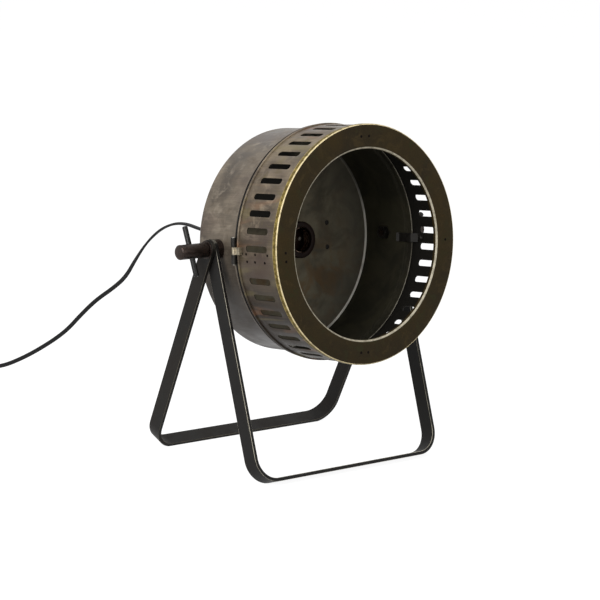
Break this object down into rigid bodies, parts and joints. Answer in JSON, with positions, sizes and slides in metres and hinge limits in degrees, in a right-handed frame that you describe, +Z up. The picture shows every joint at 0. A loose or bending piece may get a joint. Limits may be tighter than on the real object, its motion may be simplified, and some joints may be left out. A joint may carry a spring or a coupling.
{
  "type": "tabletop searchlight lamp",
  "caption": "Vented drum spotlight with a hinged open front ring and a bare lampholder, tilting between two U frames of flat bar that fold about its clamp screws",
  "frame": {"origin": "on the table, under the middle of the lamp without its cord", "axes": "+Z up, the lamp shines towards -Y, +X along the clamp screws, on the right of someone facing the lamp"},
  "size_m": [0.4382, 0.6766, 0.3879],
  "materials": {
    "drum_paint": "aged grey-brown lacquered steel",
    "band_paint": "aged grey-brown lacquered steel with copper and olive stains",
    "ring_paint": "dark bronze lacquer, mottled, worn to brass at the lip",
    "stand_steel": "dark patinated flat steel bar",
    "turned_steel": "dark oiled turned steel",
    "zinc_steel": "plain zinc-coated steel",
    "brass": "plain brass",
    "bakelite": "black moulded resin",
    "black_pvc": "black flexible plastic",
    "fibre": "dark vulcanised fibre",
    "copper": "bare copper",
    "switch_plastic": "black moulded plastic"
  },
  "bodies": {
    "stand": {"front_frame": "stand_steel", "left_fibre_washer": "fibre", "right_fibre_washer": "fibre", "cord_lead": "black_pvc", "cord_link": "black_pvc", "cord_coil": "black_pvc", "cord_tail": "black_pvc", "coil_tie": "black_pvc", "switch_base": "switch_plastic", "switch_cover": "switch_plastic", "switch_contacts": "brass", "switch_screws": "zinc_steel", "plug_body": "switch_plastic", "plug_pins": "brass", "plug_strain_relief": "black_pvc"},
    "rear_stand": {"rear_frame": "stand_steel"},
    "door": {"slotted_band": "band_paint", "front_ring": "ring_paint", "ring_tabs": "band_paint", "catch_spring": "zinc_steel", "catch_rivet": "zinc_steel", "hinge_door_knuckle": "zinc_steel"},
    "left_clamp": {"left_clamp_screw": "turned_steel", "left_tommy_bar": "turned_steel", "left_clamp_washer": "turned_steel"},
    "right_clamp": {"right_clamp_screw": "turned_steel", "right_tommy_bar": "turned_steel", "right_clamp_washer": "turned_steel"},
    "rocker": {"switch_rocker": "switch_plastic"},
    "head": {"rear_drum": "drum_paint", "back_rivets": "turned_steel", "hinge_drum_knuckles": "turned_steel", "hinge_pin": "zinc_steel", "holder_body": "bakelite", "socket_liner": "brass", "socket_insert": "bakelite", "centre_contact": "brass", "side_contact": "brass", "terminal_screws": "zinc_steel", "inner_leads": "copper", "hollow_nipple": "zinc_steel", "nipple_nut": "zinc_steel", "cord_grip": "bakelite", "strain_relief": "black_pvc", "left_pivot_boss": "turned_steel", "right_pivot_boss": "turned_steel", "left_pivot_nut": "zinc_steel", "right_pivot_nut": "zinc_steel"}
  },
  "joints": [
    {"name": "frame_fold", "type": "hinge", "parent": "stand", "child": "rear_stand", "pos_m": [0, 0.00895, 0.2447], "axis": [1, 0, 0], "range_deg": [-26, 12]},
    {"name": "head_tilt", "type": "hinge", "parent": "stand", "child": "head", "pos_m": [0, 0.00895, 0.2447], "axis": [-1, 0, 0], "range_deg": [-34, 80], "deforming": ["cord_lead"]},
    {"name": "door_swing", "type": "hinge", "parent": "head", "child": "door", "pos_m": [-0.1339, -0.02825, 0.24946], "axis": [0, -0.1271, -0.9919], "range_deg": [0, 105]},
    {"name": "left_clamp_turn", "type": "hinge", "parent": "head", "child": "left_clamp", "pos_m": [0, 0.00895, 0.2447], "axis": [-1, 0, 0], "range_deg": [0, 720]},
    {"name": "right_clamp_turn", "type": "hinge", "parent": "head", "child": "right_clamp", "pos_m": [0, 0.00895, 0.2447], "axis": [1, 0, 0], "range_deg": [0, 720]},
    {"name": "switch_rock", "type": "hinge", "parent": "stand", "child": "rocker", "pos_m": [-0.162, 0.55395, 0.0134], "axis": [0, -1, 0], "range_deg": [0, 14]}
  ]
}
